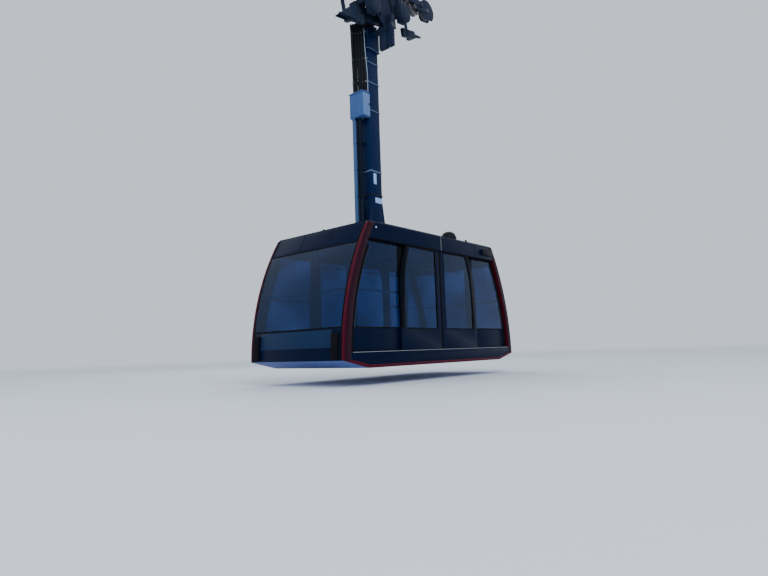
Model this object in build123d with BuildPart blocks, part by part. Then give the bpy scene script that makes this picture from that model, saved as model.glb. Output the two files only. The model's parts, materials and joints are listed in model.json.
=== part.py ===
"""Cable car cabin of the to-and-fro kind: carriage, hanger and cabin as separate pieces.

Lengths are millimetres. The origin is on the track rope, under the middle of the carriage.
+X runs along the rope towards its upper end, +Z is up, and the door side seen first is -Y.
The carriage lies along the sloping rope, and the cabin hangs level under its pin.
"""
from build123d import *
from math import cos, radians, sin, sqrt
import os

os.makedirs("parts", exist_ok=True)

# Rope and rollers
rope_slope = 12.6
rope_radius = 25
roller_pitch = 560
roller_count = 8
tread_radius = 190
flange_radius = 222
roller_width = 104
axle_radius = 40
running_gap = 0.05
axle_height = tread_radius + rope_radius

# Carriage plates, by their distance from the rope's plane
bogie_plate = (74, 90)
rocker_plate = (94, 112)
frame_plate = (116, 138)
bogie_pivot_height = 300
rocker_pivot_height = 400
plate_end_radius = 70
guard_radius = 288
guard_thick = 12
guard_cut = 225

# Hanger pin and hanger
pin_drop = 620
pin_radius = 55
mast_width = 370
mast_depth = 280
mast_near = 390
mast_wall = 12
mast_middle = mast_near + mast_depth / 2
mast_far = mast_near + mast_depth
head_near = 340
head_base = 7550
head_top = 8140
head_half = 205
foot_top = 2760

# Cabin, with heights above its underside
half_width = 1330
cabin_height = 2700
end_arc_radius = 4935
end_arc_centre = (-1980, 130)
lip_height = 290
ledge_thick = 25
floor_height = 320
floor_thick = 35
skirt_low = 150
chamfer_start = 2310
sill_height = 720
side_header_low = 2380
end_header_low = 2310
post_inner = 1205
post_bar = 1255
post_depth = 170
wall_out = 1262
wall_thick = 40
glass_thick = 22
trim_height = 58
trim_proud = 4

# Doors
doorway_half = 1080
jamb_width = 80
leaf_out = 1316
leaf_thick = 38
leaf_half = 1370
leaf_low = 302
leaf_top = 2470
leaf_curve_start = 1400
leaf_top_half = 1100
meeting_gap = 4
slot_gap = 6

slope = radians(rope_slope)
along = (cos(slope), 0, sin(slope))
across = (0, 1, 0)
pin_x = pin_drop * sin(slope)
pin_z = -pin_drop * cos(slope)
pin_above_cabin = 7955
cabin_z = pin_z - pin_above_cabin

# Working planes: along the rope seen from the near side, and the cabin's own side, end and floor
rope_side = Plane(origin=(0, 0, 0), x_dir=along, z_dir=(0, -1, 0))
cabin_side = Plane(origin=(pin_x, 0, cabin_z), x_dir=(1, 0, 0), z_dir=(0, -1, 0))
cabin_end = Plane(origin=(pin_x, 0, cabin_z), x_dir=(0, 1, 0), z_dir=(1, 0, 0))
cabin_floor = Plane(origin=(pin_x, 0, cabin_z), x_dir=(1, 0, 0), z_dir=(0, 0, 1))


def rope_point(u, w, y=0):
    """A point u along the rope from the origin and w square above it."""
    return (u * cos(slope) - w * sin(slope), y, u * sin(slope) + w * cos(slope))


def end_x(height, depth=0):
    """Half length of the cabin's curved end at a height, less a depth."""
    centre_x, centre_z = end_arc_centre
    rise = max(height - centre_z, 0)
    return centre_x + sqrt(end_arc_radius**2 - rise**2) - depth


def save(piece, name):
    piece.part.label = name
    export_step(piece.part, f"parts/{name}.step")


def curved_edge(low, high, depth):
    """The end's arc between two heights, set in by a depth; straight under the arc's centre."""
    start = max(low, end_arc_centre[1])
    middle = (start + high) / 2
    ThreePointArc(
        (end_x(start, depth), start),
        (end_x(middle, depth), middle),
        (end_x(high, depth), high),
    )
    if low < start:
        Line((end_x(low, depth), low), (end_x(start, depth), start))


def end_strip(low, high, outer_depth, inner_depth):
    """Face of a wall that follows the cabin's end, seen from the side."""
    with BuildSketch(Plane.XY) as strip:
        with BuildLine():
            curved_edge(low, high, outer_depth)
            curved_edge(low, high, inner_depth)
            Line((end_x(high, outer_depth), high), (end_x(high, inner_depth), high))
            Line((end_x(low, outer_depth), low), (end_x(low, inner_depth), low))
        make_face()
    return strip.sketch


def side_bay(low, high, near_x, depth=post_depth):
    """Face between an upright line and the end's curve, set in by a depth."""
    with BuildSketch(Plane.XY) as bay:
        with BuildLine():
            curved_edge(low, high, depth)
            Polyline((end_x(high, depth), high), (near_x, high), (near_x, low), (end_x(low, depth), low))
        make_face()
    return bay.sketch


def both_ends():
    """Repeat a piece at the other end of the cabin."""
    mirror(about=Plane.YZ.offset(pin_x))


def both_sides():
    """Repeat a piece on the other side of the rope's plane."""
    mirror(about=Plane.XZ)


roller_places = [(number - (roller_count - 1) / 2) * roller_pitch for number in range(roller_count)]
bogie_places = [(roller_places[index] + roller_places[index + 1]) / 2 for index in range(0, roller_count, 2)]
rocker_places = [(bogie_places[0] + bogie_places[1]) / 2, (bogie_places[2] + bogie_places[3]) / 2]

# Rollers: grooved wheels with a hub, a thin web and a flanged rim
for number, place in enumerate(roller_places, start=1):
    centre = rope_point(place, axle_height)
    section = Plane(origin=centre, x_dir=rope_point(0, 1), z_dir=along)
    half = roller_width / 2
    with BuildPart() as roller:
        with BuildSketch(section):
            with BuildLine():
                Polyline(
                    (flange_radius - 10, -30),
                    (flange_radius, -half),
                    (152, -half),
                    (144, -16),
                    (84, -16),
                    (76, -half - 3),
                    (axle_radius + running_gap, -half - 3),
                    (axle_radius + running_gap, half + 3),
                    (76, half + 3),
                    (84, 16),
                    (144, 16),
                    (152, half),
                    (flange_radius, half),
                    (flange_radius - 10, 30),
                )
                ThreePointArc((flange_radius - 10, 30), (tread_radius, 0), (flange_radius - 10, -30))
            make_face()
        revolve(axis=Axis(centre, across))
    save(roller, f"roller_{number}")

# Axles of the rollers, held in the bogie plates
with BuildPart() as roller_axles:
    with BuildSketch(rope_side.offset(-bogie_plate[1] - 3)):
        with Locations(*[(place, axle_height) for place in roller_places]):
            Circle(axle_radius)
    extrude(amount=2 * bogie_plate[1] + 6)
save(roller_axles, "roller_axles")

# Bogies: a pair of plates over each two rollers
with BuildPart() as bogies:
    for place in bogie_places:
        ends = [(place - roller_pitch / 2, axle_height), (place + roller_pitch / 2, axle_height)]
        top = (place, bogie_pivot_height)
        with BuildSketch(rope_side.offset(-bogie_plate[0])):
            with BuildLine():
                Polyline(
                    (ends[0][0], axle_height - plate_end_radius),
                    (ends[1][0], axle_height - plate_end_radius),
                    (ends[1][0] + plate_end_radius, axle_height),
                    (place + plate_end_radius, top[1] + plate_end_radius),
                    (place - plate_end_radius, top[1] + plate_end_radius),
                    (ends[0][0] - plate_end_radius, axle_height),
                    close=True,
                )
            make_face()
            with Locations(*ends):
                Circle(axle_radius, mode=Mode.SUBTRACT)
        extrude(amount=-(bogie_plate[1] - bogie_plate[0]))
    both_sides()
    with BuildSketch(rope_side.offset(-bogie_plate[0])):
        with Locations(*[(place, bogie_pivot_height) for place in bogie_places]):
            Circle(34)
    extrude(amount=2 * bogie_plate[0])
save(bogies, "bogies")

# Rockers: a pair of plates that share the load between two bogies
with BuildPart() as rockers:
    for place in rocker_places:
        with BuildSketch(rope_side.offset(-rocker_plate[0])):
            with BuildLine():
                Polyline(
                    (place - roller_pitch - 60, bogie_pivot_height - 60),
                    (place - roller_pitch + 60, bogie_pivot_height - 60),
                    (place, rocker_pivot_height - 110),
                    (place + roller_pitch - 60, bogie_pivot_height - 60),
                    (place + roller_pitch + 60, bogie_pivot_height - 60),
                    (place + roller_pitch + 60, bogie_pivot_height + 60),
                    (place + 90, rocker_pivot_height + 90),
                    (place - 90, rocker_pivot_height + 90),
                    (place - roller_pitch - 60, bogie_pivot_height + 60),
                    close=True,
                )
            make_face()
        extrude(amount=-(rocker_plate[1] - rocker_plate[0]))
    both_sides()
    with BuildSketch(rope_side.offset(-rocker_plate[0])):
        with Locations(*[(place, rocker_pivot_height) for place in rocker_places]):
            Circle(45)
    extrude(amount=2 * rocker_plate[0])
save(rockers, "rockers")

# Carriage frame: on both sides a chord with drop plates for the brakes, and a near web to the pin
chord_low = rocker_pivot_height - 80
chord_top = rocker_pivot_height + 90
plate_thick = frame_plate[1] - frame_plate[0]
brake_place = 560
drop_plate_wide = 260
drop_plate_low = -430
web_end_radius = 140
with BuildPart() as carriage_frame:
    with BuildSketch(rope_side.offset(-frame_plate[0])):
        with Locations((0, (chord_low + chord_top) / 2)):
            Rectangle(2 * rocker_places[1] + 220, chord_top - chord_low)
        drop_plate_middle = (chord_low + drop_plate_low) / 2
        with Locations((-brake_place, drop_plate_middle), (brake_place, drop_plate_middle)):
            Rectangle(drop_plate_wide, chord_low - drop_plate_low)
    extrude(amount=-plate_thick)
    both_sides()
    with BuildSketch(rope_side.offset(frame_plate[0])):
        with BuildLine():
            Polyline(
                (-800, chord_low),
                (-brake_place, -260),
                (-300, -400),
                (-130, -600),
                (130, -600),
                (300, -400),
                (brake_place, -260),
                (800, chord_low),
                close=True,
            )
        make_face()
        with Locations((0, -pin_drop)):
            Circle(web_end_radius)
            Circle(pin_radius, mode=Mode.SUBTRACT)
    extrude(amount=plate_thick)
    with BuildSketch(rope_side.offset(-frame_plate[0])):
        with Locations((0, chord_top - 60)):
            Circle(50)
    extrude(amount=2 * frame_plate[0])
save(carriage_frame, "carriage_frame")

# Yoke: plumb blocks with a boss on both faces of the web, and the sleeve that carries the pin
yoke_near = -290
yoke_far = 120
yoke_half = 50
yoke_boss = 95
yoke_low = pin_above_cabin - 500
yoke_top = pin_above_cabin + 285
sleeve_radius = 76
sleeve_far = 235
with BuildPart() as yoke:
    with BuildSketch(cabin_side.offset(-yoke_far)):
        with Locations((0, (yoke_low + yoke_top) / 2)):
            Rectangle(2 * yoke_half, yoke_top - yoke_low)
        with Locations((0, pin_above_cabin)):
            Circle(yoke_boss)
    extrude(amount=yoke_far + frame_plate[0])
    with BuildSketch(cabin_side.offset(frame_plate[1])):
        with Locations((0, (yoke_low + yoke_top) / 2)):
            Rectangle(2 * yoke_half, yoke_top - yoke_low)
        with Locations((0, pin_above_cabin)):
            Circle(yoke_boss)
    extrude(amount=-yoke_near - frame_plate[1])
    with BuildSketch(cabin_side.offset(-yoke_far)):
        with Locations((0, pin_above_cabin)):
            Circle(sleeve_radius)
    extrude(amount=-(sleeve_far - yoke_far))
    with BuildSketch(cabin_side.offset(-sleeve_far)):
        with Locations((0, pin_above_cabin)):
            Circle(pin_radius)
    extrude(amount=sleeve_far - yoke_near, mode=Mode.SUBTRACT)
save(yoke, "yoke")

# Hanger pin, along Y through web, yoke and hanger head
with BuildPart() as hanger_pin:
    with BuildSketch(rope_side.offset(-mast_far - 12)):
        with Locations((0, -pin_drop)):
            Circle(pin_radius)
    extrude(amount=mast_far + 12 - yoke_near + 10)
    with BuildSketch(rope_side.offset(-mast_far - 12)):
        with Locations((0, -pin_drop)):
            Circle(pin_radius + 35)
    extrude(amount=-20)
save(hanger_pin, "hanger_pin")

# Rope brakes: housings with a round lower end on the outer faces of the drop plates
brake_half = 180
brake_far = 330
brake_top = -30
brake_low_centre = -280
with BuildPart() as rope_brakes:
    for side in (-1, 1):
        with BuildSketch(rope_side.offset(-frame_plate[1])):
            with Locations((side * brake_place, (brake_top + brake_low_centre) / 2)):
                Rectangle(2 * brake_half, brake_top - brake_low_centre)
            with Locations((side * brake_place, brake_low_centre)):
                Circle(brake_half)
        extrude(amount=-(brake_far - frame_plate[1]))
    both_sides()
save(rope_brakes, "rope_brakes")

# Brake unit: the closed casing of the hydraulics, held between the two far brakes
brake_unit_top = -100
brake_unit_low = -400
brake_unit_far = 300
with BuildPart() as brake_unit:
    with BuildSketch(rope_side.offset(-frame_plate[1])):
        with Locations((0, (brake_unit_top + brake_unit_low) / 2)):
            Rectangle(2 * (brake_place - brake_half), brake_unit_top - brake_unit_low)
    extrude(amount=-(brake_unit_far - frame_plate[1]))
save(brake_unit, "brake_unit")

# Haul rope ends: a bracket from the far chord, a clamp body and a conical socket with the bore
haul_level = -540
haul_bracket = (1110, 1230)
haul_bracket_face = frame_plate[1] + 18
haul_bracket_low = haul_level - 80
haul_bracket_top = chord_top - 20
haul_clamp_start = 740
haul_clamp_step = 900
socket_start = 1230
socket_tip = 1530
haul_bore = 14
haul_bore_depth = 150
with BuildPart() as haul_sockets:
    for side in (-1, 1):
        bracket_middle = side * sum(haul_bracket) / 2
        bracket_wide = haul_bracket[1] - haul_bracket[0]
        with BuildSketch(rope_side.offset(-frame_plate[1])):
            with Locations((bracket_middle, (haul_bracket_top + haul_bracket_low) / 2)):
                Rectangle(bracket_wide, haul_bracket_top - haul_bracket_low)
        extrude(amount=-(haul_bracket_face - frame_plate[1]))
        with BuildSketch(rope_side.offset(-haul_bracket_face)):
            with Locations((bracket_middle, haul_level)):
                Rectangle(bracket_wide, 2 * (haul_level - haul_bracket_low))
        extrude(amount=haul_bracket_face)
        with BuildSketch(rope_side.offset(-55)):
            with Locations((side * (haul_clamp_step + socket_start) / 2, haul_level)):
                Rectangle(socket_start - haul_clamp_step, 170)
        extrude(amount=110)
        with BuildSketch(rope_side.offset(-40)):
            with Locations((side * (haul_clamp_start + haul_clamp_step) / 2, haul_level)):
                Rectangle(haul_clamp_step - haul_clamp_start, 205)
        extrude(amount=80)
        socket_plane = Plane(
            origin=rope_point(side * socket_start, haul_level),
            z_dir=tuple(side * value for value in along),
        )
        with BuildSketch(socket_plane):
            Circle(52)
        with BuildSketch(socket_plane.offset(socket_tip - socket_start)):
            Circle(24)
        loft()
        with BuildSketch(socket_plane.offset(socket_tip - socket_start)):
            Circle(haul_bore)
        extrude(amount=-haul_bore_depth, mode=Mode.SUBTRACT)
save(haul_sockets, "haul_sockets")

# End guards: round covers over the end rollers, open below and where the rope passes
guard_low = -30
guard_open = 110
with BuildPart() as end_guards:
    for side in (-1, 1):
        centre = (side * roller_places[-1], axle_height)
        with BuildSketch(rope_side.offset(-bogie_plate[0])):
            with Locations(centre):
                Circle(guard_radius)
            with Locations((centre[0], guard_low - guard_radius)):
                Rectangle(2 * guard_radius, 2 * guard_radius, mode=Mode.SUBTRACT)
            with Locations((side * (roller_places[-1] - guard_cut - guard_radius), centre[1])):
                Rectangle(2 * guard_radius, 2 * guard_radius, mode=Mode.SUBTRACT)
            with Locations(centre):
                Circle(axle_radius, mode=Mode.SUBTRACT)
        extrude(amount=2 * bogie_plate[0])
        with BuildSketch(rope_side.offset(-bogie_plate[0] + guard_thick)):
            with Locations(centre):
                Circle(guard_radius - guard_thick)
            with Locations((centre[0], guard_open - guard_radius)):
                Rectangle(2 * guard_radius, 2 * guard_radius)
        extrude(amount=2 * (bogie_plate[0] - guard_thick), mode=Mode.SUBTRACT)
save(end_guards, "end_guards")

# Mast: welded box tube
with BuildPart() as hanger_mast:
    with BuildSketch(cabin_floor.offset(foot_top)):
        with Locations((0, mast_middle)):
            Rectangle(mast_width, mast_depth)
            Rectangle(mast_width - 2 * mast_wall, mast_depth - 2 * mast_wall, mode=Mode.SUBTRACT)
    extrude(amount=head_base - foot_top)
save(hanger_mast, "hanger_mast")

# Hanger head: solid block on a flange, round at its top corners, with a sleeve towards the yoke
head_corner = 150
head_sleeve_near = 250
flange_proud = 10
flange_thick = 22
with BuildPart() as hanger_head:
    with BuildSketch(cabin_side.offset(-head_near)):
        with Locations((0, (head_base + head_top - head_corner) / 2)):
            Rectangle(2 * head_half, head_top - head_corner - head_base)
        with Locations((0, head_top - head_corner / 2)):
            Rectangle(2 * (head_half - head_corner), head_corner)
        with Locations((head_corner - head_half, head_top - head_corner)):
            Circle(head_corner)
        with Locations((head_half - head_corner, head_top - head_corner)):
            Circle(head_corner)
    extrude(amount=-(mast_far - head_near))
    with BuildSketch(cabin_floor.offset(head_base)):
        with Locations((0, (head_near + mast_far) / 2)):
            Rectangle(2 * (head_half + flange_proud), mast_far - head_near + 2 * flange_proud)
    extrude(amount=flange_thick)
    with BuildSketch(cabin_side.offset(-head_sleeve_near)):
        with Locations((0, pin_above_cabin)):
            Circle(sleeve_radius)
    extrude(amount=-(head_near - head_sleeve_near))
    with BuildSketch(cabin_side.offset(-head_sleeve_near)):
        with Locations((0, pin_above_cabin)):
            Circle(pin_radius + running_gap)
    extrude(amount=-(mast_far - head_sleeve_near), mode=Mode.SUBTRACT)
save(hanger_head, "hanger_head")

# Bands around the mast: height of each band's middle and its own height
mast_bands = [(3960, 30), (4530, 40), (6030, 24), (6730, 24), (7240, 24)]
band_proud = 12
with BuildPart() as mast_collars:
    for height, tall in mast_bands:
        with BuildSketch(cabin_floor.offset(height - tall / 2)):
            with Locations((0, mast_middle)):
                Rectangle(mast_width + 2 * band_proud, mast_depth + 2 * band_proud)
                Rectangle(mast_width, mast_depth, mode=Mode.SUBTRACT)
        extrude(amount=tall)
save(mast_collars, "mast_collars")

# Foot of the hanger: base plate and two tapering gussets
roof_top = cabin_height + 30
gusset_thick = 20
with BuildPart() as hanger_foot:
    with BuildSketch(cabin_floor.offset(roof_top)):
        with Locations((0, mast_middle)):
            Rectangle(900, 520)
    extrude(amount=foot_top - roof_top)
    for near_face in (mast_near, mast_far - gusset_thick):
        with BuildSketch(cabin_side.offset(-near_face)):
            for side in (-1, 1):
                with BuildLine():
                    Polyline(
                        (side * mast_width / 2, foot_top),
                        (side * (mast_width / 2 + 165), foot_top),
                        (side * mast_width / 2, foot_top + 1100),
                        close=True,
                    )
                make_face()
        extrude(amount=-gusset_thick)
save(hanger_foot, "hanger_foot")

# Roof beams that carry the foot
with BuildPart() as roof_beams:
    with BuildSketch(cabin_floor.offset(roof_top)):
        with Locations((-510, 0), (510, 0)):
            Rectangle(120, 1800)
    extrude(amount=90)
save(roof_beams, "roof_beams")

# Equipment box on the mast's lower side
box_low = 5810
box_tall = 600
box_deep = 250
box_near = 350
box_wide = 425
box_middle_x = -mast_width / 2 - band_proud - box_deep / 2
with BuildPart() as equipment_box:
    with BuildSketch(cabin_floor.offset(box_low)):
        with Locations((box_middle_x, box_near + box_wide / 2)):
            Rectangle(box_deep, box_wide)
    extrude(amount=box_tall)
save(equipment_box, "equipment_box")

# Pipes from the box down to the roof: x, y and radius of each
mast_pipes_table = [(-400, 680, 46), (-330, 560, 38)]
with BuildPart() as mast_pipes:
    for x, y, radius in mast_pipes_table:
        with BuildSketch(cabin_floor.offset(foot_top)):
            with Locations((x, y)):
                Circle(radius)
        extrude(amount=box_low - foot_top)
save(mast_pipes, "mast_pipes")

# Hose rack: hoses from the carriage's side down to the box, held by plates on the mast
hose_top = 8040
hose_radius = 24
hose_places = [(-240, 425), (-262, 492), (-290, 558), (-332, 622), (-388, 676)]
rack_heights = [6700, 7290, 7960]
rack_thick = 14
with BuildPart() as hose_rack:
    with BuildSketch(cabin_floor.offset(box_low + box_tall)):
        with Locations(*hose_places):
            Circle(hose_radius)
    extrude(amount=hose_top - box_low - box_tall)
    for height in rack_heights:
        reach_in = head_half if height > head_base else mast_width / 2
        with BuildSketch(cabin_floor.offset(height)):
            with BuildLine():
                Polyline(
                    (-reach_in, mast_near + 12),
                    (-reach_in, mast_far - 8),
                    (-360, 704),
                    (-418, 704),
                    (-418, 640),
                    (-258, mast_near + 12),
                    close=True,
                )
            make_face()
        extrude(amount=rack_thick)
save(hose_rack, "hose_rack")

# Roof: slab between the headers with a thin cap
ceiling_height = 2630
end_header_thick = 60
header_in = 1200
roof_face = side_bay(ceiling_height, cabin_height, 0, end_header_thick)
with BuildPart() as roof:
    with BuildSketch(cabin_side.offset(-header_in)):
        add(roof_face)
    extrude(amount=2 * header_in)
    with BuildSketch(cabin_floor.offset(cabin_height)):
        with Locations((1100, 0)):
            Rectangle(2200, 2 * (half_width - 30))
    extrude(amount=roof_top - cabin_height)
    both_ends()
save(roof, "roof")

# End walls: header, window and lower panel, each following the curve
end_walls = [
    # name, low, high, thickness
    ("end_headers", end_header_low, cabin_height, end_header_thick),
    ("end_windows", sill_height, end_header_low, glass_thick),
    ("end_lower_panels", skirt_low, sill_height, wall_thick),
]
for name, low, high, thick in end_walls:
    wall_face = end_strip(low, high, 0, thick)
    with BuildPart() as end_wall:
        with BuildSketch(cabin_side.offset(-post_bar)):
            add(wall_face)
        extrude(amount=2 * post_bar)
        both_ends()
    save(end_wall, name)

# Corner posts: curved bars at the four corners, with a leg inside that the end walls lie on
post_face = end_strip(skirt_low, cabin_height, 0, post_depth)
leg_face = end_strip(skirt_low, cabin_height, end_header_thick, post_depth)
with BuildPart() as corner_posts:
    with BuildSketch(cabin_side.offset(-half_width)):
        add(post_face)
    extrude(amount=half_width - post_bar)
    with BuildSketch(cabin_side.offset(-post_bar)):
        add(leg_face)
    extrude(amount=post_bar - post_inner)
    both_ends()
    both_sides()
save(corner_posts, "corner_posts")

# Side headers: channels that the door leaves run in, cut to the corner posts
slot_in = leaf_out - leaf_thick - slot_gap
slot_out = leaf_out + slot_gap
slot_top = 2520
header_face = side_bay(side_header_low, cabin_height, 0)
with BuildPart() as side_headers:
    with BuildSketch(cabin_end.offset(-end_x(0))):
        with BuildLine():
            Polyline(
                (-half_width, cabin_height),
                (-half_width, side_header_low),
                (-slot_out, side_header_low),
                (-slot_out, slot_top),
                (-slot_in, slot_top),
                (-slot_in, side_header_low),
                (-header_in, side_header_low),
                (-header_in, cabin_height),
                close=True,
            )
        make_face()
    extrude(amount=2 * end_x(0))
    with BuildSketch(cabin_side.offset(half_width + 1)):
        add(header_face)
        mirror(about=Plane.YZ)
    extrude(amount=-half_width, mode=Mode.INTERSECT)
    both_sides()
save(side_headers, "side_headers")

# Side walls beside the doorways: lower panels, windows and jambs
side_walls = [
    # name, low, high, thickness
    ("side_lower_panels", lip_height, sill_height, wall_thick),
    ("side_windows", sill_height, side_header_low, glass_thick),
]
for name, low, high, thick in side_walls:
    wall_face = side_bay(low, high, doorway_half + jamb_width)
    with BuildPart() as side_wall:
        with BuildSketch(cabin_side.offset(wall_out)):
            add(wall_face)
        extrude(amount=-thick)
        both_ends()
        both_sides()
    save(side_wall, name)

with BuildPart() as door_jambs:
    with BuildSketch(cabin_floor.offset(lip_height)):
        with Locations((doorway_half + jamb_width / 2, -wall_out + wall_thick / 2)):
            Rectangle(jamb_width, wall_thick)
    extrude(amount=side_header_low - lip_height)
    both_ends()
    both_sides()
save(door_jambs, "door_jambs")

# Under body: floor, pan with sloping ends, side skirts with their ledge and trim
ledge_low = lip_height - ledge_thick
skirt_in = half_width - wall_thick
under_half = end_x(lip_height, post_depth)
with BuildPart() as floor_panel:
    with BuildSketch(cabin_floor.offset(floor_height - floor_thick)):
        Rectangle(2 * end_x(floor_height, wall_thick), 2 * post_inner)
        Rectangle(2 * end_x(floor_height, post_depth), 2 * (wall_out - wall_thick))
    extrude(amount=floor_thick)
save(floor_panel, "floor_panel")


def underside(lift):
    """Outline of the under body seen from the side, with its bottom edge lifted."""
    chamfer_end = chamfer_start + (end_x(0) - chamfer_start) * (skirt_low - lift) / skirt_low
    with BuildSketch(Plane.XY) as outline:
        with BuildLine():
            Polyline(
                (-under_half, ledge_low),
                (-under_half, skirt_low),
                (-chamfer_end, skirt_low),
                (-chamfer_start, lift),
                (chamfer_start, lift),
                (chamfer_end, skirt_low),
                (under_half, skirt_low),
                (under_half, ledge_low),
                close=True,
            )
        make_face()
    return outline.sketch


skirt_face = underside(trim_height)
under_face = underside(0)
pan_thick = 20
pan_hollow = underside(pan_thick)


with BuildPart() as side_skirts:
    with BuildSketch(cabin_side.offset(half_width)):
        add(skirt_face)
    extrude(amount=-wall_thick)
    both_sides()
save(side_skirts, "side_skirts")

with BuildPart() as sill_trim:
    with BuildSketch(cabin_side.offset(half_width + trim_proud)):
        add(under_face)
        add(skirt_face, mode=Mode.SUBTRACT)
    extrude(amount=-wall_thick)
    both_sides()
save(sill_trim, "sill_trim")

with BuildPart() as under_pan:
    with BuildSketch(cabin_side.offset(skirt_in)):
        add(under_face)
        add(pan_hollow, mode=Mode.SUBTRACT)
    extrude(amount=-2 * skirt_in)
save(under_pan, "under_pan")

with BuildPart() as sill_ledges:
    with BuildSketch(cabin_floor.offset(ledge_low)):
        with Locations((0, -(half_width + 1222) / 2)):
            Rectangle(2 * under_half, half_width - 1222)
    extrude(amount=ledge_thick)
    both_sides()
save(sill_ledges, "sill_ledges")

# Door leaves, front and rear on each side, with a pane set in each frame
leaves = [
    # name, side (-1 near, +1 far), end (+1 towards the rope's upper end)
    ("right_front", -1, 1),
    ("right_rear", -1, -1),
    ("left_front", 1, 1),
    ("left_rear", 1, -1),
]
stile = 150
pane_top = 2360
pane_inset = 12
pane_thick = 14


def leaf_face(low, high, near_x, inset):
    """Outline of a door leaf with its outer edge curving in towards the top, set in all round."""
    outer = leaf_half - inset
    reach = (high - leaf_curve_start) / (leaf_top - leaf_curve_start)
    top_outer = outer - (leaf_half - leaf_top_half) * reach**2
    middle = (leaf_curve_start + high) / 2
    middle_outer = outer - (outer - top_outer) / 4
    with BuildSketch(Plane.XY) as outline:
        with BuildLine():
            Polyline((top_outer, high), (near_x, high), (near_x, low), (outer, low), (outer, leaf_curve_start))
            ThreePointArc((outer, leaf_curve_start), (middle_outer, middle), (top_outer, high))
        make_face()
    return outline.sketch


frame_face = leaf_face(leaf_low, leaf_top, meeting_gap, 0)
pane_face = leaf_face(sill_height, pane_top, stile, stile)


for name, side, end in leaves:
    leaf_plane = Plane(
        origin=(pin_x, side * leaf_out, cabin_z),
        x_dir=(end, 0, 0),
        z_dir=(0, -end, 0),
    )
    inward = end * side
    with BuildPart() as door_leaf:
        with BuildSketch(leaf_plane):
            add(frame_face)
            add(pane_face, mode=Mode.SUBTRACT)
        extrude(amount=inward * leaf_thick)
    save(door_leaf, f"door_{name}")
    with BuildPart() as door_pane:
        with BuildSketch(leaf_plane.offset(inward * pane_inset)):
            add(pane_face)
        extrude(amount=inward * pane_thick)
    save(door_pane, f"door_glass_{name}")

# Bumper strips on the ends
bumper_face = end_strip(170, 650, -45, 0)
with BuildPart() as end_bumpers:
    with BuildSketch(cabin_side.offset(-1190)):
        add(bumper_face)
    extrude(amount=170)
    both_ends()
    both_sides()
save(end_bumpers, "end_bumpers")

# Handrails inside: across both ends and beside the side windows
rail_height = 1420
end_rail_radius = 18
side_rail_radius = 15
side_rail_y = 1218
end_rail_x = end_x(rail_height) - 100
side_rail_start = doorway_half + jamb_width
side_rail_end = end_x(rail_height + side_rail_radius, post_depth)
with BuildPart() as handrails:
    with BuildSketch(cabin_side.offset(-post_inner)):
        with Locations((end_rail_x, rail_height)):
            Circle(end_rail_radius)
    extrude(amount=2 * post_inner)
    with BuildSketch(cabin_end.offset(side_rail_start)):
        with Locations((-side_rail_y, rail_height), (side_rail_y, rail_height)):
            Circle(side_rail_radius)
    extrude(amount=side_rail_end - side_rail_start)
    both_ends()
save(handrails, "handrails")

# Roof dome near the door side's edge: a base ring and two rising rings of the cap
dome_place = (700, -1110)
dome_base_radius = 180
dome_rings = [
    # height above the roof, radius
    (75, 175),
    (150, 140),
    (190, 75),
]
with BuildPart() as roof_dome:
    with BuildSketch(cabin_floor.offset(roof_top)):
        with Locations(dome_place):
            Circle(dome_base_radius)
    extrude(amount=dome_rings[0][0])
    for (low, low_radius), (high, high_radius) in zip(dome_rings, dome_rings[1:]):
        with BuildSketch(cabin_floor.offset(roof_top + low)):
            with Locations(dome_place):
                Circle(low_radius)
        with BuildSketch(cabin_floor.offset(roof_top + high)):
            with Locations(dome_place):
                Circle(high_radius)
        loft()
save(roof_dome, "roof_dome")

# Marker lamps on the side headers, by the lower end
with BuildPart() as marker_lamps:
    with BuildSketch(cabin_side.offset(half_width)):
        with Locations((-2035, 2605)):
            Circle(18)
    extrude(amount=8)
    both_sides()
save(marker_lamps, "marker_lamps")

# Housings of the door drives on the side headers
with BuildPart() as header_boxes:
    with BuildSketch(cabin_side.offset(half_width)):
        with Locations((1950, 2550)):
            Rectangle(440, 130)
    extrude(amount=40)
    both_sides()
save(header_boxes, "header_boxes")
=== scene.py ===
"""A cable car cabin under its hanger and carriage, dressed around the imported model.

Lengths are metres in the row frame: the origin on the track rope, +X towards the rope's
upper end, -Y the door side in view, +Z up.
"""
import json
import math

import bmesh
import bpy
from mathutils import Matrix, Vector


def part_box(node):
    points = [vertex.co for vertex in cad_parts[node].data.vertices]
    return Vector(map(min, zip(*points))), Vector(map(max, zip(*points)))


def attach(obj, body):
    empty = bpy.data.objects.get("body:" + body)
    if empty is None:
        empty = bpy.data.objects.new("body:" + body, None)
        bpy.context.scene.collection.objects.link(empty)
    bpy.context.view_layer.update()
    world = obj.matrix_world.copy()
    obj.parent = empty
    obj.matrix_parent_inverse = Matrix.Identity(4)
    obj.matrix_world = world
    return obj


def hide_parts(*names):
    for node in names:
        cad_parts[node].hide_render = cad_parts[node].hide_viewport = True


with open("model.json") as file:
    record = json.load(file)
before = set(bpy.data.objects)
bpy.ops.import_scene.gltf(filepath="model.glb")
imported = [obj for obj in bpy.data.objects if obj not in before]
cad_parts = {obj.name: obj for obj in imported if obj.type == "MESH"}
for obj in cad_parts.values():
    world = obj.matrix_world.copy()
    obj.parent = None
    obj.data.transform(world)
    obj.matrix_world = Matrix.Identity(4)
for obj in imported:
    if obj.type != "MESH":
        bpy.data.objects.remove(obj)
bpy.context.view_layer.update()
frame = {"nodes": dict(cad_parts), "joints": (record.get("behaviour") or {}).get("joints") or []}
nodes = frame["nodes"]

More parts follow.
